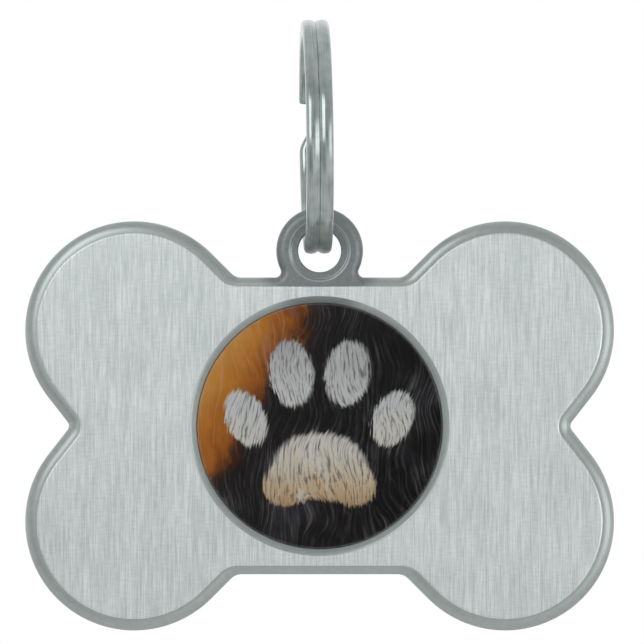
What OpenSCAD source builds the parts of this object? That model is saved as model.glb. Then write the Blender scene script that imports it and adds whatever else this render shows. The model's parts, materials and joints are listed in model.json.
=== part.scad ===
// Bone-shaped pet id tag hanging from a split ring.
// The front faces -Y and +Z is up. The origin is the point inside the top
// of the split ring where a collar's loop bears. All sizes are millimetres.

/* [Tag outline] */
// Height of the middle bar of the bone
bar_h = 25.6; // [22:0.2:27]
// Radius of each of the four lobes
lobe_r = 9.4; // [8.8:0.1:9.8]
// Distance of a lobe's centre from the tag's vertical centre line
lobe_x = 16; // [15:0.25:18]
// Distance of a lobe's centre from the tag's horizontal centre line
lobe_z = 8.25; // [7.75:0.25:9]
// Slope of the neck that runs from a lobe down to the bar, in degrees
neck_slope = 45; // [42:1:50]
// Radius of the hollow corner where a neck meets the bar
neck_fillet = 1.3; // [0.8:0.1:2]
// Slope of the flank that runs from a lobe to the side notch, in degrees
flank_slope = 38; // [34:1:42]
// Radius at the bottom of the side notch
notch_fillet = 0.6; // [0.4:0.1:1]

/* [Tag section] */
// Overall thickness from the brushed face to the back
tag_t = 2.5; // [2:0.1:3.5]
// Height of the brushed face above the polished border
face_step = 0.14; // [0.1:0.02:0.3]
// Width of the polished border around the lobes
lobe_border = 1; // [0.6:0.05:1.3]
// Width of the polished border along the bar
bar_border = 0.73; // [0.5:0.01:1]
// How far the rounded border falls away from the face
border_fall = 0.75; // [0.4:0.05:1]
// Radius of the eased edge of the back
back_ease = 0.3; // [0.2:0.05:0.4]

/* [Hanging lug] */
// Height of the lug hole's centre above the tag's centre
hole_z = 15.1; // [14.8:0.1:16]
// Radius of the hole that the split ring runs through
hole_r = 1.85; // [1.8:0.05:2]
// Outer radius of the lug
lug_r = 3.74; // [3.5:0.02:4]
// Rise of the lug's outer circle above the hole's centre
lug_rise = 0; // [0:0.05:0.3]
// Thickness of the lug
lug_t = 2.34; // [1.8:0.02:2.34]
// Radius of the rounded outer edge of the lug
lug_edge = 0.7; // [0.3:0.05:0.9]
// Radius of the sunk rim around the hole on each face
sunk_r = 2.6; // [2.5:0.05:2.8]
// Depth of the sunk rim on each face
sunk_depth = 0.12; // [0.08:0.02:0.3]
// Width of the sunk rim's sloping side
sunk_slope = 0.2; // [0.1:0.05:0.3]
// Size of the chamfer where the hole meets the sunk rim
hole_chamfer = 0.1; // [0.05:0.05:0.3]
// Radius of the hollow corners where the lug meets the bar
foot_fillet = 0.5; // [0.3:0.05:0.8]

/* [Picture recess] */
// Radius of the recess at its floor
recess_r = 10.6; // [10:0.1:10.8]
// Radius of the recess at the brushed face
recess_mouth_r = 11.08; // [10.9:0.01:11.2]
// Depth of the recess below the brushed face
recess_depth = 1.15; // [1.1:0.05:1.5]
// Height of the sloping part of the recess wall
recess_slope = 0.5; // [0.3:0.05:0.6]

/* [Picture stack] */
// Radius of the printed disc and the clear cover
disc_r = 10.55; // [9.9:0.05:10.6]
// Radius of the adhesive pad
pad_r = 10.2; // [9.6:0.1:10.4]
// Thickness of the adhesive pad
pad_t = 0.1; // [0.05:0.05:0.2]
// Thickness of the printed disc
print_t = 0.25; // [0.15:0.05:0.4]
// Thickness of the clear cover
cover_t = 0.3; // [0.15:0.05:0.4]

/* [Split ring] */
// Outside diameter of the split ring
ring_od = 20.2; // [18:0.1:22]
// Wire size across the ring, in the radial direction
wire_h = 1.4; // [1.2:0.05:1.5]
// Wire size along the ring's axis
wire_w = 1.13; // [1:0.01:1.15]
// Radius of the wire's crowned inner and outer faces
wire_crown = 0.95; // [0.8:0.05:1.5]
// Corner radius of the wire
wire_corner = 0.2; // [0.15:0.01:0.3]
// Gap between the two turns
turn_gap = 0.05; // [0.04:0.01:0.2]
// Turn of the hanging ring about the vertical, in degrees
ring_turn = 2; // [0:0.1:2.2]
// Lean of the hanging ring to the side, in degrees
ring_lean = 0.8; // [0:0.1:1]
// Sideways offset of the ring's centre
ring_x = -0.3; // [-0.3:0.05:0.2]
// Height of the ring's lowest point against the lug hole's centre
wire_low = -0.25; // [-0.3:0.01:0]

/* [Hidden] */

// Places in the shared frame
ring_r = ring_od / 2;
ring_inner_r = ring_r - wire_h;
ring_z = -ring_inner_r;
hole_at_z = ring_z - ring_r - wire_low;
tag_z = hole_at_z - hole_z;
face_y = -tag_t / 2;
border_top_y = face_y + face_step;

// The lug's back is all but flush with the flat back of the plate
lug_y = face_step / 2;
lug_z = hole_z + lug_rise;

// How finely the outline is divided, counted in steps
lobe_steps = 32;
neck_steps = 5;
notch_steps = 4;
border_steps = 5;

// Sides of the round parts: the picture's discs, the lug and its hole, small corners
disc_sides = 144;
lug_sides = 96;
corner_sides = 48;

// Ease of the face's edge: its lower line's height as a share of the step, and
// the insets of its lower and upper lines
edge_share = 0.3;
edge_low = 1.01;
edge_high = 1.05;

// How much the hollow corners open out from the rim to the brushed face
neck_open = 0.85;
notch_open = 0.95;

// Outline of the tag
// The inset e is 0 at the outer rim and 1 at the edge of the brushed face.
// One quarter runs from the bar, over a lobe, to the bottom of the side notch.
function arc(c, r, from, to, steps) =
    [for (i = [0 : steps]) let (a = from + (to - from) * i / steps)
        [c.x + r * cos(a), c.y + r * sin(a)]];

function quarter(e) =
    let (
        r = lobe_r - e * lobe_border,
        bar_z = bar_h / 2 - e * bar_border,
        neck_r = neck_fillet + e * neck_open,
        notch_r = notch_fillet + e * notch_open,
        lobe = [lobe_x, lobe_z],
        neck_n = [-sin(neck_slope), cos(neck_slope)],
        neck_at = lobe + r * neck_n,
        neck_cz = bar_z + neck_r,
        neck_cx = neck_at.x + (neck_r - (neck_cz - neck_at.y) * neck_n.y) / neck_n.x,
        flank_n = [cos(flank_slope), -sin(flank_slope)],
        flank_at = lobe + r * flank_n,
        notch_cx = flank_at.x + (notch_r + flank_at.y * flank_n.y) / flank_n.x
    )
    concat(
        arc([neck_cx, neck_cz], neck_r, -90, neck_slope - 90, neck_steps),
        arc(lobe, r, 90 + neck_slope, -flank_slope, lobe_steps),
        arc([notch_cx, 0], notch_r, 180 - flank_slope, 180, notch_steps)
    );

function reversed(list) = [for (i = [len(list) - 1 : -1 : 0]) list[i]];
function but_first(list) = [for (i = [1 : len(list) - 1]) list[i]];
function flipped(list, sx, sz) = [for (p = list) [p.x * sx, p.y * sz]];

function outline(e) =
    let (q = quarter(e), back = reversed(q))
    concat(
        q,
        but_first(flipped(back, 1, -1)),
        flipped(q, -1, -1),
        but_first(flipped(back, -1, 1))
    );

// Section of the rim, from the back to the front, as [y, e]
// The back edge is eased and the border is a quarter of an ellipse.
ease_steps = 2;
rim_section = concat(
    [for (i = [0 : ease_steps]) let (a = 90 * i / ease_steps)
        [tag_t / 2 - back_ease * (1 - cos(a)), back_ease * (1 - sin(a))]],
    [for (i = [0 : border_steps]) let (a = 90 * i / border_steps)
        [border_top_y + border_fall * (1 - sin(a)), 1 - cos(a)]],
    [[face_y + edge_share * face_step, edge_low], [face_y, edge_high]]
);

// A skin over equal rings of points, closed by a flat cap at each end
// A cap's triangles count a ring's points from 0 and go on into its hubs, which
// are extra points that a hollow outline needs so that no triangle leaves it.
function plain_cap(n) = [for (i = [1 : n - 2]) [0, i, i + 1]];

module skin(rings, cap, first_hubs = [], last_hubs = []) {
    n = len(rings[0]);
    last = len(rings) - 1;
    hubs_at = n * len(rings);
    points = concat([for (ring = rings) for (p = ring) p], first_hubs, last_hubs);
    sides = [for (k = [0 : last - 1]) for (i = [0 : n - 1]) let (j = (i + 1) % n)
        each [[k * n + i, k * n + j, (k + 1) * n + j], [k * n + i, (k + 1) * n + j, (k + 1) * n + i]]];
    first_cap = [for (t = cap) [for (i = [2, 1, 0]) t[i] < n ? t[i] : hubs_at + t[i] - n]];
    last_cap = [for (t = cap) [for (i = t) i < n ? last * n + i : hubs_at + len(first_hubs) + i - n]];
    polyhedron(points, concat(sides, first_cap, last_cap), convexity = 8);
}

// Cap of the bone outline: a fan from each lobe's centre, joined at the tag's centre
function fan(hub, from, to) = [for (i = [from : to - 1]) [hub, i, i + 1]];

function bone_cap(q) =
    let (
        n = 4 * q - 2,
        centre = n,
        quarters = [[0, q - 1], [q - 1, 2 * q - 2], [2 * q - 1, 3 * q - 2], [3 * q - 2, n - 1]]
    )
    concat(
        [for (k = [0 : 3]) let (hub = n + 1 + k, from = quarters[k][0], to = quarters[k][1])
            each concat(fan(hub, from, to), [[centre, from, hub], [centre, hub, to]])],
        [[centre, n - 1, 0], [centre, 2 * q - 2, 2 * q - 1]]
    );

function bone_hubs(y) =
    [for (s = [[0, 0], [1, 1], [1, -1], [-1, -1], [-1, 1]]) [s.x * lobe_x, y, s.y * lobe_z]];

// Bone plate with its rounded border and raised face
module bone_plate() {
    rings = [for (s = rim_section) [for (p = outline(s[1])) [p.x, s[0], p.y]]];
    skin(rings, bone_cap(len(quarter(0))), bone_hubs(tag_t / 2), bone_hubs(face_y));
}

// Something turned about the Y axis, drawn with its axis upright
module along_y() {
    rotate([-90, 0, 0]) children();
}

// Half section of the lug's disc: flat faces and a fully rounded outer edge
module lug_section() {
    flat = lug_r - lug_edge;
    straight = lug_t / 2 - lug_edge;
    translate([0, -lug_t / 2]) square([flat, lug_t]);
    translate([0, -straight]) square([lug_r, 2 * straight]);
    for (s = [-1, 1]) translate([flat, s * straight]) circle(r = lug_edge, $fn = corner_sides);
}

// Short foot of the lug, hollowed on each side by a round corner that is
// tangent to the bar and to the lug's outer circle
module lug_foot() {
    foot_t = lug_t - lug_edge;
    low = bar_h / 2 - bar_border;
    corner_z = bar_h / 2 + foot_fillet;
    corner_x = sqrt(pow(lug_r + foot_fillet, 2) - pow(lug_z - corner_z, 2));
    half = [[0, low], [corner_x, low], [corner_x, corner_z], [0, lug_z]];
    translate([0, lug_y + foot_t / 2, 0]) rotate([90, 0, 0]) linear_extrude(foot_t)
        for (s = [0, 1]) mirror([s, 0]) difference() {
            polygon(half);
            translate([corner_x, corner_z]) circle(r = foot_fillet, $fn = corner_sides);
        }
}

// Cast lug: a rounded disc on its foot
module lug() {
    translate([0, lug_y, lug_z]) along_y() rotate_extrude($fn = lug_sides) lug_section();
    lug_foot();
}

// Hole of the lug with a sunk rim on each face
module lug_hole() {
    clear = 1;
    translate([0, lug_y, hole_z]) along_y() {
        cylinder(r = hole_r, h = 2 * lug_t, center = true, $fn = lug_sides);
        for (s = [0, 1]) mirror([0, 0, s]) translate([0, 0, lug_t / 2]) {
            translate([0, 0, -sunk_depth - hole_chamfer])
                cylinder(r1 = hole_r, r2 = hole_r + hole_chamfer, h = hole_chamfer, $fn = lug_sides);
            translate([0, 0, -sunk_depth])
                cylinder(r1 = sunk_r - sunk_slope, r2 = sunk_r, h = sunk_depth, $fn = lug_sides);
            cylinder(r = sunk_r, h = clear, $fn = lug_sides);
        }
    }
}

// Round recess with a straight wall below and a sloping wall above
module recess() {
    clear = 1;
    translate([0, face_y, 0]) along_y() {
        cylinder(r = recess_r, h = recess_depth, $fn = disc_sides);
        cylinder(r1 = recess_mouth_r, r2 = recess_r, h = recess_slope, $fn = disc_sides);
        translate([0, 0, -clear]) cylinder(r = recess_mouth_r, h = clear, $fn = disc_sides);
    }
}

module tag_body() {
    color("#B9C3C2") translate([0, 0, tag_z]) difference() {
        union() {
            bone_plate();
            lug();
        }
        recess();
        lug_hole();
    }
}

// One layer of the picture stack, at a height above the recess floor
module layer(r, t, above_floor) {
    floor_y = face_y + recess_depth;
    translate([0, floor_y - above_floor - t, tag_z]) along_y() cylinder(r = r, h = t, $fn = disc_sides);
}

module adhesive_pad() {
    color("#E6E4DA") layer(pad_r, pad_t, 0);
}

module printed_disc() {
    color("#4A4142") layer(disc_r, print_t, pad_t);
}

module clear_cover() {
    color("#DDE6EA", 0.4) layer(disc_r, cover_t, pad_t + print_t);
}

// Path of the split ring's wire
// The angle counts back from 0 at the far side, so -90 is the bottom, in the
// lug, and -180 the near side. The wire starts below the far side in the right
// layer, crosses to the left layer after one turn and ends above the far side.
wire_start = -12;
wire_end = -700;
cross_from = -349;
cross_to = -367;
wire_step = 5;
pitch = wire_w + turn_gap;
mid_r = ring_r - wire_h / 2;

function clamp01(t) = max(0, min(1, t));
function eased(t) = t * t * (3 - 2 * t);
function layer_x(a) = pitch * (0.5 - eased(clamp01((a - cross_from) / (cross_to - cross_from))));

// Wire section as [axial, radial]: straight sides, rounded corners and two crowned
// faces. A corner's arc meets the crown's arc at the angle join_angle.
corner_steps = 2;
crown_steps = 4;
corner_x = wire_w / 2 - wire_corner;
join_angle = acos(corner_x / (wire_crown - wire_corner));
crown_y = wire_h / 2 - wire_crown;
corner_y = crown_y + (wire_crown - wire_corner) * sin(join_angle);
upper_half = concat(
    arc([corner_x, corner_y], wire_corner, 0, join_angle, corner_steps),
    but_first(arc([0, crown_y], wire_crown, join_angle, 180 - join_angle, crown_steps)),
    but_first(arc([-corner_x, corner_y], wire_corner, 180 - join_angle, 180, corner_steps))
);
wire_section = concat(upper_half, flipped(upper_half, -1, -1));

function wire_ring(a, size) =
    [for (s = wire_section) let (r = mid_r + s.y * size)
        [layer_x(a) + s.x * size, r * cos(a), r * sin(a)]];

// Each end is eased over the last small step of the wire
end_size = 0.72;
end_step = 1;
wire_angles = [for (a = [wire_start - end_step : -wire_step : wire_end + 2 * end_step]) a];
wire_rings = concat(
    [wire_ring(wire_start, end_size)],
    [for (a = wire_angles) wire_ring(a, 1)],
    [wire_ring(wire_end + end_step, 1), wire_ring(wire_end, end_size)]
);

// The least gap between the two turns, measured on the points of their sections
turn_gaps = [for (a = wire_angles) if (a - 360 > wire_end)
    for (p = wire_ring(a, 1)) for (q = wire_ring(a - 360, 1)) norm(p - q)];
echo(least_gap_between_turns = min(turn_gaps));

module split_ring() {
    color("#8F9997") translate([ring_x, 0, ring_z])
        rotate([0, 0, ring_turn]) rotate([0, -ring_lean, 0])
            skin(wire_rings, plain_cap(len(wire_section)));
}

tag_body();
adhesive_pad();
printed_disc();
clear_cover();
split_ring();
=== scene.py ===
"""Looks of a bone-shaped pet id tag on a split ring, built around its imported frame.

The front faces -Y and +Z is up. Sizes are in millimetres and MM turns them to metres.
"""
import json
import math

import bmesh
import bpy
from mathutils import Matrix, Vector


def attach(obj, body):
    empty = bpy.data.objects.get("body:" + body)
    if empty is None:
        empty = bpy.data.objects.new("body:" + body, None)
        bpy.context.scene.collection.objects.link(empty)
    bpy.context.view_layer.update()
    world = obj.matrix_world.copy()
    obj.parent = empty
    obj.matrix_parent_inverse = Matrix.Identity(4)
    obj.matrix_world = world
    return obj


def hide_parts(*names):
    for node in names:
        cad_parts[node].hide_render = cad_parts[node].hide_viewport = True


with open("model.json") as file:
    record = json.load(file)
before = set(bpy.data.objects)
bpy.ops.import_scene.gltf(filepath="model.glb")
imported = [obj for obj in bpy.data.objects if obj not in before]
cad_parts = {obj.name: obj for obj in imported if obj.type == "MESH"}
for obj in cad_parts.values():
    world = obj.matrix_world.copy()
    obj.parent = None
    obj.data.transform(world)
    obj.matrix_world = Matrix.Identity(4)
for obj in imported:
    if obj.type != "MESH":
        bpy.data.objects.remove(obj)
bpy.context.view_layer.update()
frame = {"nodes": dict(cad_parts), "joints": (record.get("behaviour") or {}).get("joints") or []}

# Tag body
# One zinc casting, plated with nickel: a bone-shaped plate with a rounded border
# and its hanging lug. The raised face is brushed up and down after plating, and
# a round recess for the picture is cast into it.
MM = 0.001

# Outline of the bone; the OPEN values widen its fillets from the rim to the face
BAR_H = 25.6
LOBE_R = 9.4
LOBE_X = 16.0
LOBE_Z = 8.25
NECK_SLOPE = math.radians(45)
NECK_FILLET = 1.3
NECK_OPEN = 0.85
FLANK_SLOPE = math.radians(38)
NOTCH_FILLET = 0.6
NOTCH_OPEN = 0.95
# Thickness, border and the raised face with its rounded edge
TAG_T = 2.5
BACK_EASE = 0.3
LOBE_BORDER = 1.0
BAR_BORDER = 0.73
BORDER_FALL = 0.75
FACE_STEP = 0.14
FACE_EDGE_FALL = 0.12
# Shares of the border's width: the face's rounded edge, and the narrow flat next
# to it and next to the back edge, which keeps their shading clean
FACE_EDGE_SHARE = 0.22
FLAT_SHARE = 0.04
# Lug, its hole and the sunk rim round the hole
HOLE_Z = 15.1
HOLE_R = 1.85
HOLE_CHAMFER = 0.1
LUG_R = 3.74
LUG_Z = HOLE_Z
LUG_BACK_EASE = 0.96
FOOT_FILLET = 0.5
SUNK_R = 2.6
SUNK_DEPTH = 0.12
SUNK_SLOPE = 0.2
SUNK_ROUNDING = 0.04
SUNK_FLAT = 0.1
HOLE_FLAT = 0.08
# Recess for the picture
RECESS_R = 10.6
RECESS_MOUTH_R = 11.08
RECESS_DEPTH = 1.15
RECESS_SLOPE = 0.5

# The tag's centre is on the axis of its lug hole's joint, HOLE_Z below it
TAG_Z = frame["joints"][0]["pos_m"][2] / MM - HOLE_Z
FACE_Y = -TAG_T / 2
BACK_Y = TAG_T / 2
BORDER_Y = FACE_Y + FACE_STEP

# Centre of the fillet at the lug's right foot, and how far it turns to meet the lug
FOOT_Z = BAR_H / 2 + FOOT_FILLET
FOOT_X = math.sqrt((LUG_R + FOOT_FILLET) ** 2 - (LUG_Z - FOOT_Z) ** 2)
FOOT_ANGLE = math.atan2(LUG_Z - FOOT_Z, FOOT_X)

# Steps of each curve of the outline and of each rounded edge
NECK_STEPS, LOBE_STEPS, NOTCH_STEPS = 14, 110, 12
FOOT_STEPS, LUG_STEPS, UNDER_STEPS = 12, 96, 10
BACK_STEPS, BORDER_STEPS, EDGE_STEPS = 6, 16, 8
SLOPE_STEPS, CHAMFER_STEPS = 8, 4
RECESS_POINTS, HOLE_POINTS = 200, 96

# The finishes, in the order of the tag's materials
POLISHED, BRUSHED, AS_CAST, LAPPED = range(4)


def arc(centre_x, centre_z, radius, start, end, steps):
    """Points on an arc, between two angles in radians."""
    angles = [start + (end - start) * i / steps for i in range(steps + 1)]
    return [(centre_x + radius * math.cos(a), centre_z + radius * math.sin(a)) for a in angles]


def mirrored(points, sign_x, sign_z):
    """Points with x and z each kept or turned over, as its sign says."""
    return [(x * sign_x, z * sign_z) for x, z in points]


def bar_top(inset):
    """Height of the bar's top edge, at an inset of 0 for the rim and 1 for the face."""
    return BAR_H / 2 - inset * BAR_BORDER


def quarter(inset):
    """Outline of one quarter of the bone, from the bar over a lobe to the side notch."""
    radius = LOBE_R - inset * LOBE_BORDER
    neck_r = NECK_FILLET + inset * NECK_OPEN
    notch_r = NOTCH_FILLET + inset * NOTCH_OPEN
    neck_nx, neck_nz = -math.sin(NECK_SLOPE), math.cos(NECK_SLOPE)
    neck_z = bar_top(inset) + neck_r
    neck_run = neck_r - (neck_z - LOBE_Z - radius * neck_nz) * neck_nz
    neck_x = LOBE_X + radius * neck_nx + neck_run / neck_nx
    flank_nx, flank_nz = math.cos(FLANK_SLOPE), -math.sin(FLANK_SLOPE)
    flank_run = notch_r + (LOBE_Z + radius * flank_nz) * flank_nz
    notch_x = LOBE_X + radius * flank_nx + flank_run / flank_nx
    up = math.pi / 2
    points = arc(neck_x, neck_z, neck_r, -up, NECK_SLOPE - up, NECK_STEPS)
    points += arc(LOBE_X, LOBE_Z, radius, up + NECK_SLOPE, -FLANK_SLOPE, LOBE_STEPS)
    points += arc(notch_x, 0, notch_r, math.pi - FLANK_SLOPE, math.pi, NOTCH_STEPS)
    return points


def bone_part(inset):
    """Outline of the bone, clockwise from the lug's right foot to its left foot."""
    upper = quarter(inset)
    lower = list(reversed(upper))
    points = [(FOOT_X, bar_top(inset))] + upper + mirrored(lower, 1, -1)[1:]
    points += mirrored(upper, -1, -1) + mirrored(lower, -1, 1)[1:]
    points.append((-FOOT_X, bar_top(inset)))
    return points


def lug_part(inset):
    """Outline of the lug, from its left foot over the top to its right foot."""
    fillet = FOOT_FILLET + inset * BAR_BORDER
    radius = LUG_R - inset * BAR_BORDER
    left = arc(-FOOT_X, FOOT_Z, fillet, -math.pi / 2, FOOT_ANGLE, FOOT_STEPS)[1:]
    over = arc(0, LUG_Z, radius, math.pi + FOOT_ANGLE, -FOOT_ANGLE, LUG_STEPS)[1:-1]
    right = mirrored(list(reversed(left)), -1, 1)
    return left + over + right


def under_lug(inset):
    """The bar's straight top edge between the lug's feet, left to right."""
    return [(FOOT_X * (2 * i / UNDER_STEPS - 1), bar_top(inset)) for i in range(1, UNDER_STEPS)]


def stations(part):
    """Each point of an outline at inset 0, with its move for an inset of 1."""
    return [(x0, z0, x1 - x0, z1 - z0) for (x0, z0), (x1, z1) in zip(part(0), part(1))]


def quarter_turn(steps):
    """Sine and cosine of each step through a quarter turn."""
    turns = [math.radians(90 * i / steps) for i in range(steps + 1)]
    return [(math.sin(a), math.cos(a)) for a in turns]


def row(mesh, points):
    """Adds one row of vertices at points in the tag's own millimetres."""
    return [mesh.verts.new((x * MM, y * MM, (z + TAG_Z) * MM)) for x, y, z in points]


def inset_row(mesh, line, insets, heights):
    """Adds a row along stations, with an inset and a y for each of them."""
    return row(mesh, [
        (x + e * dx, y, z + e * dz) for (x, z, dx, dz), e, y in zip(line, insets, heights)
    ])


def level_row(mesh, line, inset, y):
    """Adds a row along stations, at one inset and one y."""
    return inset_row(mesh, line, [inset] * len(line), [y] * len(line))


def circle_row(mesh, centre_z, radius, y, count):
    """Adds a round row about a point of the tag's middle line."""
    turns = [2 * math.pi * i / count for i in range(count)]
    return row(mesh, [(radius * math.cos(a), y, centre_z + radius * math.sin(a)) for a in turns])


def skin(mesh, first, second, finish):
    """Joins two equal closed rows with quads, in one finish or in one for each quad."""
    count = len(first)
    for i in range(count):
        j = (i + 1) % count
        made = mesh.faces.new((first[i], first[j], second[j], second[i]))
        made.material_index = finish if isinstance(finish, int) else finish[i]


def flat_fill(mesh, loops, finish):
    """Fills the flat region inside the first closed loop and outside the others."""
    edges = []
    for loop in loops:
        for a, b in zip(loop, loop[1:] + loop[:1]):
            edges.append(mesh.edges.get((a, b)) or mesh.edges.new((a, b)))
    made = bmesh.ops.triangle_fill(mesh, use_beauty=True, edges=edges, normal=(0, 1, 0))
    for part in made["geom"]:
        if isinstance(part, bmesh.types.BMFace):
            part.material_index = finish


def cast_tag():
    """Mesh of the tag body: border, lug, face, recess and back as one closed skin."""
    mesh = bmesh.new()
    bone = stations(bone_part)
    lug = stations(lug_part)
    top = stations(under_lug)
    outer = bone + lug
    ramp = [i / FOOT_STEPS for i in range(1, FOOT_STEPS + 1)]
    lug_share = ramp + [1.0] * (len(lug) - 2 * FOOT_STEPS) + ramp[::-1]
    share = [0.0] * len(bone) + [s * s * (3 - 2 * s) for s in lug_share]

    # Back edge, eased more on the lug than on the plate
    ease = [BACK_EASE + (LUG_BACK_EASE - BACK_EASE) * s for s in share]
    rows = [inset_row(mesh, outer, [e + FLAT_SHARE for e in ease], [BACK_Y] * len(outer))]
    for sine, cosine in reversed(quarter_turn(BACK_STEPS)):
        insets = [e * (1 - cosine) for e in ease]
        heights = [BACK_Y - e * (1 - sine) for e in ease]
        rows.append(inset_row(mesh, outer, insets, heights))
    # Rounded border: a quarter of an ellipse from the rim up to the foot of the face
    for sine, cosine in quarter_turn(BORDER_STEPS):
        rows.append(level_row(mesh, outer, 1 - cosine, BORDER_Y + BORDER_FALL * (1 - sine)))
    rim_finishes = [POLISHED] * len(bone) + [AS_CAST] * len(lug)
    for first, second in zip(rows, rows[1:]):
        skin(mesh, first, second, rim_finishes)
    back_loop, border_loop = rows[0], rows[-1]

    # Raised face: a short wall, a rounded edge and the start of the flat
    top_foot = level_row(mesh, top, 1.0, BORDER_Y)
    face_rows = [border_loop[:len(bone)] + top_foot]
    around = bone + top
    for sine, cosine in quarter_turn(EDGE_STEPS):
        y = FACE_Y + FACE_EDGE_FALL * (1 - sine)
        face_rows.append(level_row(mesh, around, 1.0 + FACE_EDGE_SHARE * (1 - cosine), y))
    face_rows.append(level_row(mesh, around, 1.0 + FACE_EDGE_SHARE + FLAT_SHARE, FACE_Y))
    for first, second in zip(face_rows, face_rows[1:]):
        skin(mesh, first, second, BRUSHED)

    # Recess as (radius, depth): its eased mouth, a slope, a wall and its floor
    mouth = [
        (RECESS_MOUTH_R + 0.18, 0.0), (RECESS_MOUTH_R + 0.12, 0.0),
        (RECESS_MOUTH_R + 0.07, 0.008), (RECESS_MOUTH_R + 0.02, 0.03),
        (RECESS_MOUTH_R - 0.04, 0.07), (RECESS_MOUTH_R - 0.11, 0.13),
        (RECESS_R + 0.03, RECESS_SLOPE - 0.03), (RECESS_R + 0.006, RECESS_SLOPE),
        (RECESS_R, RECESS_SLOPE + 0.04), (RECESS_R, RECESS_DEPTH - 0.03),
        (RECESS_R - 0.03, RECESS_DEPTH), (RECESS_R - 0.1, RECESS_DEPTH),
    ]
    wall = [circle_row(mesh, 0, r, FACE_Y + depth, RECESS_POINTS) for r, depth in mouth]
    skin(mesh, wall[0], wall[1], BRUSHED)
    for first, second in zip(wall[1:], wall[2:]):
        skin(mesh, first, second, POLISHED)
    mesh.faces.new(wall[-1]).material_index = POLISHED

    # Lug hole as (radius, depth): the sunk rim's soft slope, its floor and a rounded
    # edge. Both sides have them.
    dish = [(SUNK_R + SUNK_FLAT, 0.0)]
    for step in range(SLOPE_STEPS + 1):
        fall = (1 - math.cos(math.pi * step / SLOPE_STEPS)) / 2
        run = (SUNK_SLOPE + 2 * SUNK_ROUNDING) * step / SLOPE_STEPS
        dish.append((SUNK_R + SUNK_ROUNDING - run, SUNK_DEPTH * fall))
    edge_r = HOLE_R + HOLE_CHAMFER
    dish.append((edge_r + HOLE_FLAT, SUNK_DEPTH))
    for sine, cosine in quarter_turn(CHAMFER_STEPS):
        dish.append((edge_r - HOLE_CHAMFER * sine, SUNK_DEPTH + HOLE_CHAMFER * (1 - cosine)))
    dish.append((HOLE_R, SUNK_DEPTH + HOLE_CHAMFER + HOLE_FLAT))
    sides = [(r, BORDER_Y + depth) for r, depth in dish]
    sides += [(r, BACK_Y - depth) for r, depth in reversed(dish)]
    bore = [circle_row(mesh, HOLE_Z, r, y, HOLE_POINTS) for r, y in sides]
    for first, second, side in zip(bore, bore[1:], sides):
        skin(mesh, first, second, POLISHED if side[0] > SUNK_R - SUNK_SLOPE else AS_CAST)

    lug_loop = border_loop[len(bone) - 1:] + border_loop[:1] + top_foot[::-1]
    flat_fill(mesh, [face_rows[-1], wall[0]], BRUSHED)
    flat_fill(mesh, [lug_loop, bore[0]], AS_CAST)
    flat_fill(mesh, [back_loop, bore[-1]], LAPPED)
    return mesh


SHARP_ANGLE = math.radians(35)
BRUSH_UNIT = 50 * MM


def finished(mesh, name, materials):
    """Turns the bmesh into an object with smooth faces.

    One that has no UV map gets a flat one, whose axes the brushing runs along.
    """
    bmesh.ops.recalc_face_normals(mesh, faces=mesh.faces)
    if mesh.loops.layers.uv.active is None:
        brush_map = mesh.loops.layers.uv.new("brush")
        for face in mesh.faces:
            for loop in face.loops:
                at = loop.vert.co
                loop[brush_map].uv = (at.x / BRUSH_UNIT, at.z / BRUSH_UNIT)
    data = bpy.data.meshes.new(name)
    mesh.to_mesh(data)
    mesh.free()
    for polygon in data.polygons:
        polygon.use_smooth = True
    data.set_sharp_from_angle(angle=SHARP_ANGLE)
    for material in materials:
        data.materials.append(material)
    made = bpy.data.objects.new(name, data)
    bpy.context.scene.collection.objects.link(made)
    return made


def linear(hex_colour):
    """The linear colour that Blender's sockets take, from an sRGB hex value."""
    parts = [int(hex_colour[i:i + 2], 16) / 255 for i in (1, 3, 5)]
    return [c / 12.92 if c <= 0.04045 else ((c + 0.055) / 1.055) ** 2.4 for c in parts] + [1.0]


def plug(tree, node, inputs):
    """Sets a node's inputs, and links those that are given as another node's output."""
    for socket, value in inputs.items():
        if isinstance(value, bpy.types.NodeSocket):
            tree.links.new(value, node.inputs[socket])
        else:
            node.inputs[socket].default_value = value


def add(tree, kind, inputs=None, stops=None, **settings):
    """Adds a node, sets its properties and ramp stops, and sets or links its inputs.

    A Mix node's inputs are 0 for the share of the second, 2 and 3 for two values, and
    6 and 7 for two colours.
    """
    made = tree.nodes.new(kind)
    for name, value in settings.items():
        setattr(made, name, value)
    for index, (position, colour) in enumerate(stops or []):
        elements = made.color_ramp.elements
        stop = elements[index] if index < len(elements) else elements.new(position)
        stop.position = position
        stop.color = colour
    plug(tree, made, inputs or {})
    return made


def new_material(name):
    """A material with a Principled shader; gives the material, its tree and the shader."""
    made = bpy.data.materials.new(name)
    made.use_nodes = True
    return made, made.node_tree, made.node_tree.nodes["Principled BSDF"]


def grain(tree, place, across, along, detail, roughness, lean=0.0):
    """Noise drawn out into marks, at a lean in degrees.

    Across and along are how many of them there are in one unit of the place.
    """
    turned = add(tree, "ShaderNodeMapping", {
        "Vector": place, "Rotation": (0.0, math.radians(lean), 0.0), "Scale": (across, 1.0, along)})
    return add(tree, "ShaderNodeTexNoise", {
        "Vector": turned.outputs["Vector"], "Scale": 1.0, "Detail": detail, "Roughness": roughness})


# A pattern's scale is written as its marks to the millimetre, over MM

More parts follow.
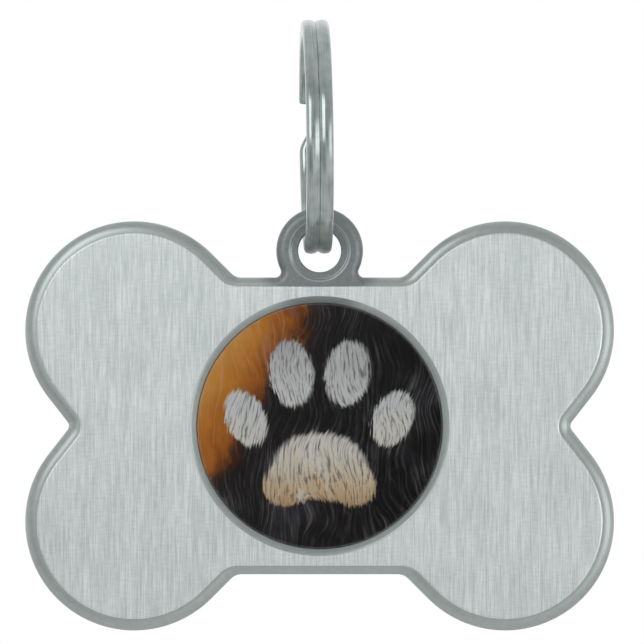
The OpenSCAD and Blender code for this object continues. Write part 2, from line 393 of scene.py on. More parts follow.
# Nickel plate over the border, the sunk rims and the recess, which were tumbled
# smooth. It mirrors softly and evenly: swells 4 mm long and a haze of 0.5 mm.
polished_nickel, tree, shader = new_material("polished_nickel_plate")
place = add(tree, "ShaderNodeTexCoord").outputs["Object"]
swell = add(tree, "ShaderNodeTexNoise", {"Vector": place, "Scale": 0.26 / MM, "Detail": 2.0})
haze = add(tree, "ShaderNodeTexNoise", {
    "Vector": place, "Scale": 1.9 / MM, "Detail": 3.0, "Roughness": 0.5}).outputs["Fac"]
tone = add(tree, "ShaderNodeValToRGB", {"Fac": haze}, stops=[
    (0.3, linear("#B0B9B7")), (0.7, linear("#B8C1BF"))])
gloss = add(tree, "ShaderNodeMapRange", {
    "Value": haze, "From Min": 0.3, "From Max": 0.7, "To Min": 0.34, "To Max": 0.38})
relief = add(tree, "ShaderNodeBump", {
    "Height": swell.outputs["Fac"], "Strength": 0.2, "Distance": 0.05 * MM})
# The tumbling stones don't reach into the corners beside the lug: a ring of places
# that lie within 2 mm of a circle just outside it stays duller, and its colour is darkened there as
# painted shade
NOOK_R = LUG_R + 0.4
NOOK_NEAR, NOOK_FAR = 0.5, 2.0
from_lug = add(tree, "ShaderNodeVectorMath", {
    0: place, 1: (0.0, BORDER_Y * MM, (LUG_Z + TAG_Z) * MM)}, operation="DISTANCE")
past_nook = add(tree, "ShaderNodeMath", {
    0: from_lug.outputs["Value"], 1: NOOK_R * MM}, operation="SUBTRACT")
off_nook = add(tree, "ShaderNodeMath", {0: past_nook.outputs[0]}, operation="ABSOLUTE")
nook_dull_and_shade = add(tree, "ShaderNodeMapRange", {
    "Value": off_nook.outputs[0], "From Min": NOOK_NEAR * MM, "From Max": NOOK_FAR * MM,
    "To Min": 1.0, "To Max": 0.0}, interpolation_type="SMOOTHSTEP").outputs["Result"]
# Painted shade: the plate's colour darkens to a dull grey in the corners beside the lug
dulled_and_shaded = add(tree, "ShaderNodeMix", {
    0: nook_dull_and_shade, 6: tone.outputs["Color"], 7: linear("#959B9B")}, data_type="RGBA")
rougher = add(tree, "ShaderNodeMix", {
    0: nook_dull_and_shade, 2: gloss.outputs["Result"], 3: 0.45}, data_type="FLOAT")
plug(tree, shader, {
    "Base Color": dulled_and_shaded.outputs[2], "Roughness": rougher.outputs[0],
    "Normal": relief.outputs["Normal"], "Metallic": 1.0})

# The same plate brushed up and down: hairlines about 0.1 mm wide and several
# millimetres long, in soft bands, with faint level rubs and some longer bright
# scratches. Real hairlines are under 0.05 mm, so they are drawn coarser.
brushed_nickel, tree, shader = new_material("brushed_nickel_plate")
coordinates = add(tree, "ShaderNodeTexCoord")
place = coordinates.outputs["Object"]
hair = grain(tree, place, 9.0 / MM, 0.33 / MM, 4.0, 0.65)
band = grain(tree, place, 3.1 / MM, 0.11 / MM, 2.0, 0.5)
rub = grain(tree, place, 1.1 / MM, 5.2 / MM, 2.0, 0.5)
cloud = grain(tree, place, 0.26 / MM, 0.17 / MM, 3.0, 0.5)
scratch = grain(tree, place, 6.0 / MM, 0.13 / MM, 1.0, 0.5)
lines = add(tree, "ShaderNodeMix", {
    0: 0.3, 2: hair.outputs["Fac"], 3: band.outputs["Fac"]}, data_type="FLOAT").outputs[0]
worn = add(tree, "ShaderNodeMix", {
    0: 0.13, 2: lines, 3: rub.outputs["Fac"]}, data_type="FLOAT").outputs[0]
shade = add(tree, "ShaderNodeMix", {
    0: 0.1, 2: worn, 3: cloud.outputs["Fac"]}, data_type="FLOAT")
tone = add(tree, "ShaderNodeValToRGB", {"Fac": shade.outputs[0]}, stops=[
    (0.4, linear("#CAD4D3")), (0.6, linear("#F3F9F8"))])
scratched = add(tree, "ShaderNodeMapRange", {
    "Value": scratch.outputs["Fac"], "From Min": 0.66, "From Max": 0.78,
    "To Min": 0.0, "To Max": 0.8})
bright = add(tree, "ShaderNodeMix", {
    0: scratched.outputs["Result"], 6: tone.outputs["Color"], 7: linear("#F7FAF9")},
    data_type="RGBA")
gloss = add(tree, "ShaderNodeMapRange", {
    "Value": lines, "From Min": 0.35, "From Max": 0.65, "To Min": 0.5, "To Max": 0.62})
# The wheel turns the face's edge over and burnishes it, where it leans from the front
facing = add(tree, "ShaderNodeSeparateXYZ", {"Vector": coordinates.outputs["Normal"]})
turned_over = add(tree, "ShaderNodeMapRange", {
    "Value": facing.outputs["Y"], "From Min": -0.995, "From Max": -0.95})
burnished = add(tree, "ShaderNodeMix", {
    0: turned_over.outputs["Result"], 2: gloss.outputs["Result"], 3: 0.36}, data_type="FLOAT")
relief = add(tree, "ShaderNodeBump", {"Height": worn, "Strength": 0.25, "Distance": 0.02 * MM})
tangent = add(tree, "ShaderNodeTangent", direction_type="UV_MAP", uv_map="brush")
plug(tree, shader, {
    "Base Color": bright.outputs[2], "Roughness": burnished.outputs[0],
    "Normal": relief.outputs["Normal"], "Tangent": tangent.outputs["Tangent"],
    "Metallic": 1.0, "Anisotropic": 0.7})

# The lug and its hole keep the skin of the casting under the plate: duller,
# darker and finely pitted, with pits about 0.3 mm apart.
as_cast_nickel, tree, shader = new_material("as_cast_nickel_plate")
place = add(tree, "ShaderNodeTexCoord").outputs["Object"]
pits = add(tree, "ShaderNodeTexNoise", {
    "Vector": place, "Scale": 3.2 / MM, "Detail": 3.0, "Roughness": 0.6}).outputs["Fac"]
tone = add(tree, "ShaderNodeValToRGB", {"Fac": pits}, stops=[
    (0.3, linear("#868D8D")), (0.7, linear("#929898"))])
gloss = add(tree, "ShaderNodeMapRange", {
    "Value": pits, "From Min": 0.3, "From Max": 0.7, "To Min": 0.5, "To Max": 0.42})
relief = add(tree, "ShaderNodeBump", {"Height": pits, "Strength": 0.2, "Distance": 0.01 * MM})
plug(tree, shader, {
    "Base Color": tone.outputs["Color"], "Roughness": gloss.outputs["Result"],
    "Normal": relief.outputs["Normal"], "Metallic": 1.0})

# The back is lapped flat for engraving, which leaves hairlines 0.2 mm wide and
# 2 mm long in a satin plate, drawn coarser than real ones.
lapped_nickel, tree, shader = new_material("lapped_nickel_plate")
place = add(tree, "ShaderNodeTexCoord").outputs["Object"]
lap = grain(tree, place, 5.2 / MM, 0.52 / MM, 4.0, 0.6).outputs["Fac"]
cloud = add(tree, "ShaderNodeTexNoise", {"Vector": place, "Scale": 0.16 / MM, "Detail": 2.0})
both = add(tree, "ShaderNodeMix", {
    0: 0.18, 2: lap, 3: cloud.outputs["Fac"]}, data_type="FLOAT").outputs[0]
tone = add(tree, "ShaderNodeValToRGB", {"Fac": both}, stops=[
    (0.36, linear("#B2BAB9")), (0.64, linear("#CCD3D2"))])
gloss = add(tree, "ShaderNodeMapRange", {
    "Value": both, "From Min": 0.35, "From Max": 0.65, "To Min": 0.32, "To Max": 0.44})
relief = add(tree, "ShaderNodeBump", {"Height": lap, "Strength": 0.2, "Distance": 0.01 * MM})
plug(tree, shader, {
    "Base Color": tone.outputs["Color"], "Roughness": gloss.outputs["Result"],
    "Normal": relief.outputs["Normal"], "Metallic": 1.0})

finishes = [polished_nickel, brushed_nickel, as_cast_nickel, lapped_nickel]
tag = finished(cast_tag(), "bone_tag", finishes)
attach(tag, "tag")
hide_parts("tag_body")

# Adhesive pad
# A thin double-sided foam pad, die-cut a little smaller than the disc, which
# sticks the printed disc to the recess floor.

# Acrylic foam tape: off-white and dull, with closed cells about 0.2 mm across.
foam_tape, tree, shader = new_material("acrylic_foam_tape")
place = add(tree, "ShaderNodeTexCoord").outputs["Object"]
cells = add(tree, "ShaderNodeTexVoronoi", {"Vector": place, "Scale": 5.0 / MM}).outputs["Distance"]
tone = add(tree, "ShaderNodeValToRGB", {"Fac": cells}, stops=[
    (0.0, linear("#DAD6C8")), (0.7, linear("#F0EDE3"))])
relief = add(tree, "ShaderNodeBump", {"Height": cells, "Strength": 0.4, "Distance": 0.02 * MM})
plug(tree, shader, {
    "Base Color": tone.outputs["Color"], "Normal": relief.outputs["Normal"], "Roughness": 0.75})
pad = frame["nodes"]["adhesive_pad"]
pad.data.materials.clear()
pad.data.materials.append(foam_tape)

# Printed disc
# Coated card printed in colour and punched to a disc. It carries a plain paw
# print, painted with a dry brush in white, cream and tan over a charcoal ground
# with an amber corner.
DISC_R = 10.55

# Coated card under the film: ink in soft washes and combed strokes, in a fine
# screen of dots. Scales here are marks to the disc's radius of 10.55 mm, so 56
# strokes across are 0.19 mm wide.
printed_card, tree, shader = new_material("printed_coated_card")


def shifted(tree, place, noise_colour, amount):
    """Moves a place by a noise colour, to loosen the edges that are drawn there."""
    centred = add(tree, "ShaderNodeVectorMath", {
        0: noise_colour, 1: (0.5, 0.5, 0.5)}, operation="SUBTRACT")
    return add(tree, "ShaderNodeVectorMath", {
        0: centred.outputs["Vector"], 1: (amount, 0.0, amount), 2: place},
        operation="MULTIPLY_ADD").outputs["Vector"]


# Places on the disc run from -1 to 1 across it, with z up
UNIT = 1 / (DISC_R * MM)
from_centre = add(tree, "ShaderNodeVectorMath", {
    0: add(tree, "ShaderNodeTexCoord").outputs["Object"], 1: (0.0, 0.0, -TAG_Z * MM)},
    operation="ADD")
disc_place = add(tree, "ShaderNodeVectorMath", {
    0: from_centre.outputs["Vector"], 1: (UNIT, 0.0, UNIT)}, operation="MULTIPLY").outputs["Vector"]
wash = add(tree, "ShaderNodeTexNoise", {
    "Vector": disc_place, "Scale": 2.2, "Detail": 5.0, "Roughness": 0.55})
soft = add(tree, "ShaderNodeTexNoise", {"Vector": disc_place, "Scale": 1.6, "Detail": 1.0})
loose = shifted(tree, disc_place, wash.outputs["Color"], 0.5)
combed = shifted(tree, disc_place, soft.outputs["Color"], 0.45)
bristle = grain(tree, combed, 56.0, 7.0, 3.0, 0.6, lean=8)
sweep = grain(tree, loose, 20.0, 3.0, 4.0, 0.6, lean=52)
dry = grain(tree, combed, 46.0, 2.2, 5.0, 0.6, lean=-38)

# Charcoal ground, with an amber corner to the upper left
AMBER_SIDE = (-0.86, 0.0, 0.5)
amber_way = add(tree, "ShaderNodeVectorMath", {
    0: shifted(tree, loose, sweep.outputs["Color"], 0.25), 1: AMBER_SIDE},
    operation="DOT_PRODUCT").outputs["Value"]
along_way = add(tree, "ShaderNodeMapRange", {
    "Value": amber_way, "From Min": -1.0, "From Max": 1.0}, interpolation_type="LINEAR")
ground = add(tree, "ShaderNodeValToRGB", {"Fac": along_way.outputs["Result"]}, stops=[
    (0.0, linear("#131215")), (0.4, linear("#1D1B1E")), (0.72, linear("#262224")),
    (0.77, linear("#4B2F20")), (0.82, linear("#B5651F")), (0.9, linear("#DB8C33")),
    (1.0, linear("#F0AC58"))]).outputs["Color"]
# Soft folds and broad brown sweeps lie over it, each as (noise, where it starts,
# where it is full, its share there, its colour)
OVER_GROUND = [(wash, 0.5, 0.68, 0.35, "#4A464C"), (sweep, 0.56, 0.78, 0.4, "#6B5646")]
for noise, start, full, most, colour in OVER_GROUND:
    share = add(tree, "ShaderNodeMapRange", {
        "Value": noise.outputs["Fac"], "From Min": start, "From Max": full,
        "To Min": 0.0, "To Max": most}, interpolation_type="SMOOTHSTEP")
    ground = add(tree, "ShaderNodeMix", {
        0: share.outputs["Result"], 6: ground, 7: linear(colour)},
        data_type="RGBA", blend_type="SCREEN").outputs[2]
# The dry brush dusts it grey, most of all over the folds
dusty = add(tree, "ShaderNodeMapRange", {
    "Value": wash.outputs["Fac"], "From Min": 0.42, "From Max": 0.6,
    "To Min": 0.15, "To Max": 0.55}, interpolation_type="SMOOTHSTEP")
dry_marks = add(tree, "ShaderNodeMapRange", {
    "Value": dry.outputs["Fac"], "From Min": 0.45, "From Max": 0.72},
    interpolation_type="SMOOTHSTEP")
dust = add(tree, "ShaderNodeMath", {
    0: dusty.outputs["Result"], 1: dry_marks.outputs["Result"]}, operation="MULTIPLY")
ground = add(tree, "ShaderNodeMix", {
    0: dust.outputs[0], 6: ground, 7: linear("#8B8687")},
    data_type="RGBA", blend_type="SCREEN").outputs[2]

# Ovals of the paw as (x, z, half width, half height, lean in degrees)
PADS = [(0.0, -0.33, 0.40, 0.29, 0), (-0.25, -0.47, 0.23, 0.19, 25), (0.25, -0.47, 0.23, 0.19, -25)]
TOES = [(-0.60, 0.06, 0.17, 0.25, 24), (-0.23, 0.43, 0.19, 0.29, 8),
        (0.23, 0.43, 0.19, 0.29, -8), (0.60, 0.06, 0.17, 0.25, -24)]
MELT = 0.35  # how softly neighbouring ovals run together
ragged = shifted(tree, disc_place, bristle.outputs["Color"], 0.13)
nearest = None
for x, z, half_w, half_h, lean in PADS + TOES:
    oval = add(tree, "ShaderNodeMapping", {
        "Vector": ragged, "Location": (x, 0.0, z), "Rotation": (0.0, math.radians(-lean), 0.0),
        "Scale": (half_w, 1.0, half_h)}, vector_type="TEXTURE")
    reach = add(tree, "ShaderNodeVectorMath", {
        0: oval.outputs["Vector"]}, operation="LENGTH").outputs["Value"]
    if nearest is None:
        nearest = reach
    else:
        nearest = add(tree, "ShaderNodeMath", {
            0: nearest, 1: reach, 2: MELT}, operation="SMOOTH_MIN").outputs[0]
paw = add(tree, "ShaderNodeMapRange", {
    "Value": nearest, "From Min": 0.86, "From Max": 1.02, "To Min": 1.0, "To Max": 0.0},
    interpolation_type="SMOOTHSTEP")

# Its paint runs from tan at the foot through cream to pale grey, under dark bristle
# marks and warm white sweeps
rise = add(tree, "ShaderNodeSeparateXYZ", {"Vector": loose}).outputs["Z"]
up_paw = add(tree, "ShaderNodeMapRange", {
    "Value": rise, "From Min": -0.85, "From Max": 0.75}, interpolation_type="LINEAR")
paint = add(tree, "ShaderNodeValToRGB", {"Fac": up_paw.outputs["Result"]}, stops=[
    (0.0, linear("#C08F60")), (0.22, linear("#EBCFA9")), (0.42, linear("#F8F0E4")),
    (0.62, linear("#F1F0EF")), (1.0, linear("#CFCED0"))])
bare = add(tree, "ShaderNodeMapRange", {
    "Value": bristle.outputs["Fac"], "From Min": 0.36, "From Max": 0.52,
    "To Min": 0.75, "To Max": 0.0}, interpolation_type="SMOOTHSTEP")
combed_paint = add(tree, "ShaderNodeMix", {
    0: bare.outputs["Result"], 6: paint.outputs["Color"], 7: linear("#5A5150")}, data_type="RGBA")
glint = add(tree, "ShaderNodeMapRange", {
    "Value": sweep.outputs["Fac"], "From Min": 0.5, "From Max": 0.7,
    "To Min": 0.0, "To Max": 0.55}, interpolation_type="SMOOTHSTEP")
swept_paint = add(tree, "ShaderNodeMix", {
    0: glint.outputs["Result"], 6: combed_paint.outputs[2], 7: linear("#FFFCF6")}, data_type="RGBA")
picture = add(tree, "ShaderNodeMix", {
    0: paw.outputs["Result"], 6: ground, 7: swept_paint.outputs[2]}, data_type="RGBA")

# Print screen: dots about 0.12 mm apart, drawn coarser than the real 0.08 mm
DOT_PITCH = 0.12
screen = add(tree, "ShaderNodeTexVoronoi", {
    "Vector": disc_place, "Scale": DISC_R / DOT_PITCH, "Randomness": 0.4})
dots = add(tree, "ShaderNodeMapRange", {
    "Value": screen.outputs["Distance"], "From Min": 0.0, "From Max": 0.6,
    "To Min": 1.04, "To Max": 0.94}, interpolation_type="LINEAR")
screened = add(tree, "ShaderNodeMix", {
    0: 1.0, 6: picture.outputs[2], 7: dots.outputs["Result"]},
    data_type="RGBA", blend_type="MULTIPLY")
relief = add(tree, "ShaderNodeBump", {
    "Height": sweep.outputs["Fac"], "Strength": 0.1, "Distance": 0.01 * MM})
# The film lies against the print with no air between, so the print has no gloss
plug(tree, shader, {
    "Base Color": screened.outputs[2], "Normal": relief.outputs["Normal"],
    "Roughness": 0.6, "Specular IOR Level": 0.0})
card = frame["nodes"]["printed_disc"]
card.data.materials.clear()
card.data.materials.append(printed_card)

# Clear cover
# A glossy polyester film punched with the print and pressed over it, with its
# cut edge slightly rolled.
PAD_T = 0.1
PRINT_T = 0.25
COVER_T = 0.3
COVER_GAP = 0.004
COVER_ROLL = 0.08
COVER_FLAT = 0.05
ROLL_STEPS = 8
COVER_POINTS = 160

# Polyester film: clear and hard, with ripples 3 mm long that bend its reflections.
polyester, tree, shader = new_material("clear_polyester_film")
place = add(tree, "ShaderNodeTexCoord").outputs["Object"]
ripple = add(tree, "ShaderNodeTexNoise", {
    "Vector": place, "Scale": 0.3 / MM, "Detail": 2.0}).outputs["Fac"]
gloss = add(tree, "ShaderNodeMapRange", {"Value": ripple, "To Min": 0.02, "To Max": 0.06})
relief = add(tree, "ShaderNodeBump", {"Height": ripple, "Strength": 0.1, "Distance": 0.03 * MM})
plug(tree, shader, {
    "Base Color": linear("#FBFDFD"), "Roughness": gloss.outputs["Result"],
    "Normal": relief.outputs["Normal"], "Transmission Weight": 1.0, "IOR": 1.57})


def film_disc():
    """Mesh of the cover: a thin disc with a rolled edge, a hair above the print."""
    mesh = bmesh.new()
    print_y = FACE_Y + RECESS_DEPTH - PAD_T - PRINT_T
    under_y = print_y - COVER_GAP
    top_y = print_y - COVER_T
    roll_r = DISC_R - COVER_ROLL
    section = [(roll_r, under_y)]
    for step in range(ROLL_STEPS + 1):
        turn = math.radians(-90 + 180 * step / ROLL_STEPS)
        centre_y = under_y - COVER_ROLL if step < ROLL_STEPS / 2 else top_y + COVER_ROLL
        section.append((roll_r + COVER_ROLL * math.cos(turn), centre_y - COVER_ROLL * math.sin(turn)))
    section.append((roll_r - COVER_FLAT, top_y))
    rows = [circle_row(mesh, 0, r, y, COVER_POINTS) for r, y in section]
    for first, second in zip(rows, rows[1:]):
        skin(mesh, first, second, 0)
    mesh.faces.new(rows[0])
    mesh.faces.new(rows[-1])
    return mesh


cover = finished(film_disc(), "film_cover", [polyester])
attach(cover, "tag")
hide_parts("clear_cover")

# Split ring
# Flat spring wire, rounded at its corners, wound in two close turns and plated
# with nickel. Its ends lie at the far side, and one turn crosses over there.
RING_R = 10.1
WIRE_H = 1.4
WIRE_W = 1.13
WIRE_CORNER = 0.36  # the solid's corners are 0.2 mm
WIRE_CROWN = 0.95
PITCH = WIRE_W + 0.05
# The turns press together, so each is drawn a little wider and sharper where it
# faces the other
NESTLE = 0.046
FACING_CORNER = 0.02
# Places along the wire are in degrees round the ring, from its far side: the two
# ends, and where the wire crosses from one layer to the other
WIRE_START, WIRE_END = -12.0, -700.0
CROSS_FROM, CROSS_TO = -349.0, -367.0
# Each end tapers, as (degrees from the end, share of the full section)
TAPER = [(0.0, 0.55), (0.25, 0.8), (0.6, 0.95), (1.1, 1.0)]
# Even steps of WIRE_STEP run between the ends, from END_RUN inside each
END_RUN = 2.0
WIRE_STEP = 1.5
CORNER_STEPS, CROWN_STEPS = 4, 12
# The ring hangs from the collar a little off centre and askew
RING_AT = Vector((-0.3, 0.0, WIRE_H - RING_R))
RING_TURN = math.radians(2.0)
RING_LEAN = math.radians(0.8)


def layer_x(angle):
    """Which layer the wire is in: +PITCH/2 in its first turn, -PITCH/2 in its second."""
    t = min(1.0, max(0.0, (angle - CROSS_FROM) / (CROSS_TO - CROSS_FROM)))
    return PITCH * (0.5 - t * t * (3 - 2 * t))


def wire_section(width, corner):
    """Section of the wire as (axial, radial): straight sides and two crowned faces."""
    corner_x = width / 2 - corner
    join = math.acos(corner_x / (WIRE_CROWN - corner))
    crown_r = WIRE_H / 2 - WIRE_CROWN
    corner_r = crown_r + (WIRE_CROWN - corner) * math.sin(join)
    half = arc(corner_x, corner_r, corner, 0.0, join, CORNER_STEPS)
    half += arc(0.0, crown_r, WIRE_CROWN, join, math.pi - join, CROWN_STEPS)[1:]
    half += arc(-corner_x, corner_r, corner, math.pi - join, math.pi, CORNER_STEPS)[1:]
    return half + mirrored(half, -1, -1)


def wound_wire():
    """Mesh of the wire, with UVs in millimetres along and around it."""
    mesh = bmesh.new()
    section = wire_section(WIRE_W, WIRE_CORNER)
    facing = wire_section(WIRE_W + NESTLE, FACING_CORNER)
    middle = RING_R - WIRE_H / 2
    hung = Matrix.Rotation(RING_TURN, 4, "Z") @ Matrix.Rotation(-RING_LEAN, 4, "Y")
    first, last = WIRE_START - END_RUN, WIRE_END + END_RUN
    count = int((first - last) / WIRE_STEP)
    path = [(WIRE_START - off_end, size) for off_end, size in TAPER]
    path += [(first + (last - first) * i / count, 1.0) for i in range(count + 1)]
    path += [(WIRE_END + off_end, size) for off_end, size in reversed(TAPER)]
    rows = []
    for angle, size in path:
        a = math.radians(angle)
        layer = layer_x(angle)
        points = []
        for free, pressed in zip(section, facing):
            share = abs(layer) / (PITCH / 2) if layer * free[0] < 0 else 0.0
            axial, radial = [f + (p - f) * share for f, p in zip(free, pressed)]
            r = middle + radial * size
            at = Vector((layer + axial * size, r * math.cos(a), r * math.sin(a)))
            points.append(mesh.verts.new((hung @ at + RING_AT) * MM))
        rows.append(points)
    wire_map = mesh.loops.layers.uv.new("wire")
    around = [0.0]
    for a, b in zip(section, section[1:] + section[:1]):
        around.append(around[-1] + math.dist(a, b))
    for k in range(len(rows) - 1):
        along = [math.radians(path[k + s][0]) * middle for s in (0, 1)]
        for i in range(len(section)):
            j = (i + 1) % len(section)
            face = mesh.faces.new((rows[k][i], rows[k][j], rows[k + 1][j], rows[k + 1][i]))
            marks = [(along[0], around[i]), (along[0], around[i + 1]),
                     (along[1], around[i + 1]), (along[1], around[i])]
            for loop, uv in zip(face.loops, marks):
                loop[wire_map].uv = uv
    mesh.faces.new(rows[0])
    mesh.faces.new(rows[-1])
    return mesh


# Nickel plate on drawn wire: bright, with fine draw lines along its length and
# small rubs. The lines are 0.1 mm wide and 4 mm long, coarser than real ones, and
# the rubs are about 1 mm.
drawn_nickel, tree, shader = new_material("nickel_plated_drawn_wire")
along_wire = add(tree, "ShaderNodeUVMap", uv_map="wire")
line_place = add(tree, "ShaderNodeMapping", {
    "Vector": along_wire.outputs["UV"], "Scale": (0.25, 9.0, 1.0)})
lines = add(tree, "ShaderNodeTexNoise", {
    "Vector": line_place.outputs["Vector"], "Scale": 1.0, "Detail": 3.0, "Roughness": 0.6})
place = add(tree, "ShaderNodeTexCoord").outputs["Object"]
rub = add(tree, "ShaderNodeTexNoise", {"Vector": place, "Scale": 0.9 / MM, "Detail": 3.0})
both = add(tree, "ShaderNodeMix", {
    0: 0.4, 2: lines.outputs["Fac"], 3: rub.outputs["Fac"]}, data_type="FLOAT").outputs[0]
tone = add(tree, "ShaderNodeValToRGB", {"Fac": both}, stops=[
    (0.38, linear("#A0AAA9")), (0.62, linear("#C0CAC9"))])
gloss = add(tree, "ShaderNodeMapRange", {
    "Value": both, "From Min": 0.35, "From Max": 0.65, "To Min": 0.17, "To Max": 0.23})
relief = add(tree, "ShaderNodeBump", {
    "Height": lines.outputs["Fac"], "Strength": 0.3, "Distance": 0.01 * MM})
# The lug slides along the wire as the tag swings, and rubs it dull there
RUB_FULL, RUB_END = 5.0, 8.0
from_hole = add(tree, "ShaderNodeVectorMath", {
    0: place, 1: (0.0, 0.0, (HOLE_Z + TAG_Z) * MM)}, operation="DISTANCE")
rubbed = add(tree, "ShaderNodeMapRange", {
    "Value": from_hole.outputs["Value"], "From Min": RUB_FULL * MM, "From Max": RUB_END * MM,
    "To Min": 1.0, "To Max": 0.0}, interpolation_type="SMOOTHSTEP")
worn_gloss = add(tree, "ShaderNodeMix", {
    0: rubbed.outputs["Result"], 2: gloss.outputs["Result"], 3: 0.42}, data_type="FLOAT")
plug(tree, shader, {
    "Base Color": tone.outputs["Color"], "Roughness": worn_gloss.outputs[0],
    "Normal": relief.outputs["Normal"], "Metallic": 1.0})

ring = finished(wound_wire(), "split_ring_wire", [drawn_nickel])
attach(ring, "ring")
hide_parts("split_ring")

# Studio
# A white sweep behind the hanging tag, a pale floor under it, dim room in front
# and soft light from the sides, as for a plain product photograph.
FLOOR_Z = -150.0
FLOOR_FRONT, FLOOR_BACK = -180.0, 420.0
FLOOR_SIDE = 420.0


def grey(level):
    """A plain grey of a linear level."""
    return (level, level, level, 1.0)


# Matt white board with a fine tooth, about 0.7 mm. Seen straight, it is paler,
# and keeps a lighter shadow.
pale_board, tree, shader = new_material("pale_board")
place = add(tree, "ShaderNodeTexCoord").outputs["Object"]
tooth = add(tree, "ShaderNodeTexNoise", {"Vector": place, "Scale": 1.5 / MM, "Detail": 3.0})
tone = add(tree, "ShaderNodeValToRGB", {"Fac": tooth.outputs["Fac"]}, stops=[
    (0.3, linear("#F2F2F0")), (0.7, linear("#F8F8F7"))])
plug(tree, shader, {"Base Color": tone.outputs["Color"], "Roughness": 0.8})
glow = add(tree, "ShaderNodeEmission", {"Color": grey(1.0), "Strength": 1.0})
straight = add(tree, "ShaderNodeMath", {
    0: add(tree, "ShaderNodeLightPath").outputs["Is Camera Ray"], 1: 0.6}, operation="MULTIPLY")
paler = add(tree, "ShaderNodeMixShader", {
    0: straight.outputs[0], 1: shader.outputs["BSDF"], 2: glow.outputs["Emission"]})
plug(tree, tree.nodes["Material Output"], {"Surface": paler.outputs["Shader"]})

board = bmesh.new()
board_corners = [
    (-FLOOR_SIDE, FLOOR_FRONT), (FLOOR_SIDE, FLOOR_FRONT),
    (FLOOR_SIDE, FLOOR_BACK), (-FLOOR_SIDE, FLOOR_BACK)]
board.faces.new([board.verts.new((x * MM, y * MM, FLOOR_Z * MM)) for x, y in board_corners])
floor = finished(board, "floor", [pale_board])

world = bpy.data.worlds.new("studio")
bpy.context.scene.world = world
world.use_nodes = True
tree = world.node_tree
outward = add(tree, "ShaderNodeTexCoord").outputs["Generated"]
direction = add(tree, "ShaderNodeSeparateXYZ", {"Vector": outward})
to_back, to_top = direction.outputs["Y"], direction.outputs["Z"]

# Dim round the camera, paler to the sides and white behind the tag
front_to_back = add(tree, "ShaderNodeMapRange", {
    "Value": to_back, "From Min": -1.0, "From Max": 1.0})
room = add(tree, "ShaderNodeValToRGB", {"Fac": front_to_back.outputs["Result"]}, stops=[
    (0.0, grey(0.65)), (0.06, grey(0.66)), (0.15, grey(0.68)), (0.37, grey(0.77)),
    (0.5, grey(0.84)), (0.75, grey(0.95)), (1.0, grey(1.0))])
# Palest a little below the level of the tag, and dimmer overhead
low_to_high = add(tree, "ShaderNodeMapRange", {
    "Value": to_top, "From Min": -1.0, "From Max": 1.0})
lift = add(tree, "ShaderNodeValToRGB", {"Fac": low_to_high.outputs["Result"]}, stops=[
    (0.0, grey(0.74)), (0.3, grey(1.0)), (0.5, grey(0.88)), (0.7, grey(0.76)), (1.0, grey(0.79))])
lit_room = add(tree, "ShaderNodeMath", {
    0: room.outputs["Color"], 1: lift.outputs["Color"]}, operation="MULTIPLY").outputs[0]
# Both lamps leave the room darker low on the left and paler low on the right. Each
# side is (turn about the line to the camera and lean from it in degrees, level)
ROOM_SIDES = [(230, 52, 0.55), (-60, 45, 1.25)]
SIDE_REACH = 0.72
for turn, lean, level in ROOM_SIDES:
    turn, lean = math.radians(turn), math.radians(lean)
    side = (math.sin(lean) * math.cos(turn), -math.cos(lean), math.sin(lean) * math.sin(turn))
    near = add(tree, "ShaderNodeVectorMath", {0: outward, 1: side}, operation="DOT_PRODUCT")
    change = add(tree, "ShaderNodeMapRange", {
        "Value": near.outputs["Value"], "From Min": SIDE_REACH, "From Max": 1.0,
        "To Min": 1.0, "To Max": level}, interpolation_type="SMOOTHSTEP")
    lit_room = add(tree, "ShaderNodeMath", {
        0: lit_room, 1: change.outputs["Result"]}, operation="MULTIPLY").outputs[0]
# The lens itself is dark, in a round spot with a soft edge
LENS_INNER, LENS_OUTER = math.radians(4), math.radians(6)
lens_spot = add(tree, "ShaderNodeMapRange", {
    "Value": to_back, "From Min": -math.cos(LENS_INNER), "From Max": -math.cos(LENS_OUTER),
    "To Min": 1.0, "To Max": 0.0}, interpolation_type="SMOOTHSTEP").outputs["Result"]
with_lens = add(tree, "ShaderNodeMix", {
    0: lens_spot, 2: lit_room, 3: 0.05}, data_type="FLOAT")
# The sweep behind is white
behind = add(tree, "ShaderNodeMapRange", {
    "Value": to_back, "From Min": 0.68, "From Max": 0.93},
    interpolation_type="SMOOTHSTEP").outputs["Result"]
swept = add(tree, "ShaderNodeMix", {
    0: behind, 2: with_lens.outputs[0], 3: 1.0}, data_type="FLOAT")
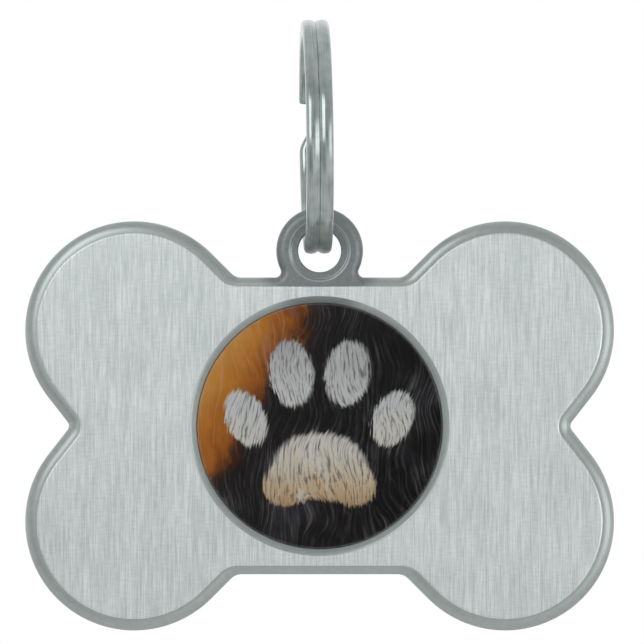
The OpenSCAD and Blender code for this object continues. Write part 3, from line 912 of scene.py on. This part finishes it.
# To the camera all of it is plain white, and so is all but the lens through the
# film. In reflections only the sweep is.
ray = add(tree, "ShaderNodeLightPath")
past_lens = add(tree, "ShaderNodeMath", {0: 1.0, 1: lens_spot}, operation="SUBTRACT")
through = add(tree, "ShaderNodeMath", {
    0: ray.outputs["Is Transmission Ray"], 1: past_lens.outputs[0]}, operation="MULTIPLY")
seen = add(tree, "ShaderNodeMath", {
    0: ray.outputs["Is Camera Ray"], 1: through.outputs[0]}, operation="MAXIMUM")
mirrored_sweep = add(tree, "ShaderNodeMath", {
    0: ray.outputs["Is Glossy Ray"], 1: behind}, operation="MULTIPLY")
white = add(tree, "ShaderNodeMath", {
    0: seen.outputs[0], 1: mirrored_sweep.outputs[0]}, operation="MAXIMUM")
strength = add(tree, "ShaderNodeMix", {
    0: white.outputs[0], 2: swept.outputs[0], 3: 1.0}, data_type="FLOAT")
plug(tree, tree.nodes["Background"], {"Color": grey(1.0), "Strength": strength.outputs[0]})

# Softboxes as (name, bearing to the right and climb in degrees, distance, width,
# height, radiance), each aimed at the tag
SOFTBOXES = [
    ("key_softbox", -28.0, 23.0, 125.0, 56.0, 82.0, 1.55),
    ("fill_softbox", 47.0, 0.0, 560.0, 420.0, 260.0, 1.0),
]
AIM = Vector((0.0, 0.0, -28.0))
for name, bearing, climb, distance, width, tall, radiance in SOFTBOXES:
    bearing, climb = math.radians(bearing), math.radians(climb)
    towards = Vector((math.sin(bearing) * math.cos(climb),
                      -math.cos(bearing) * math.cos(climb), math.sin(climb)))
    lamp = bpy.data.lights.new(name, "AREA")
    lamp.shape = "RECTANGLE"
    lamp.size = width * MM
    lamp.size_y = tall * MM
    lamp.energy = radiance * math.pi * lamp.size * lamp.size_y
    softbox = bpy.data.objects.new(name, lamp)
    softbox.location = (AIM + towards * distance) * MM
    softbox.rotation_euler = (-towards).to_track_quat("-Z", "Y").to_euler()
    bpy.context.scene.collection.objects.link(softbox)

# Camera
# Straight on to the front, 600 mm away. Its long lens takes in 55.6 mm, which is
# the photograph's width at the tag.
SENSOR = 36.0
LENS_LENGTH = 388.6
CAMERA_AT = Vector((0.202, -600.0, -24.69))
lens = bpy.data.cameras.new("camera")
lens.sensor_width = SENSOR
lens.lens = LENS_LENGTH
lens.clip_start = 10 * MM
camera = bpy.data.objects.new("camera", lens)
camera.location = CAMERA_AT * MM
camera.rotation_euler = (math.radians(90), 0.0, 0.0)
bpy.context.scene.collection.objects.link(camera)
bpy.context.scene.camera = camera
bpy.context.scene.view_settings.view_transform = "Standard"
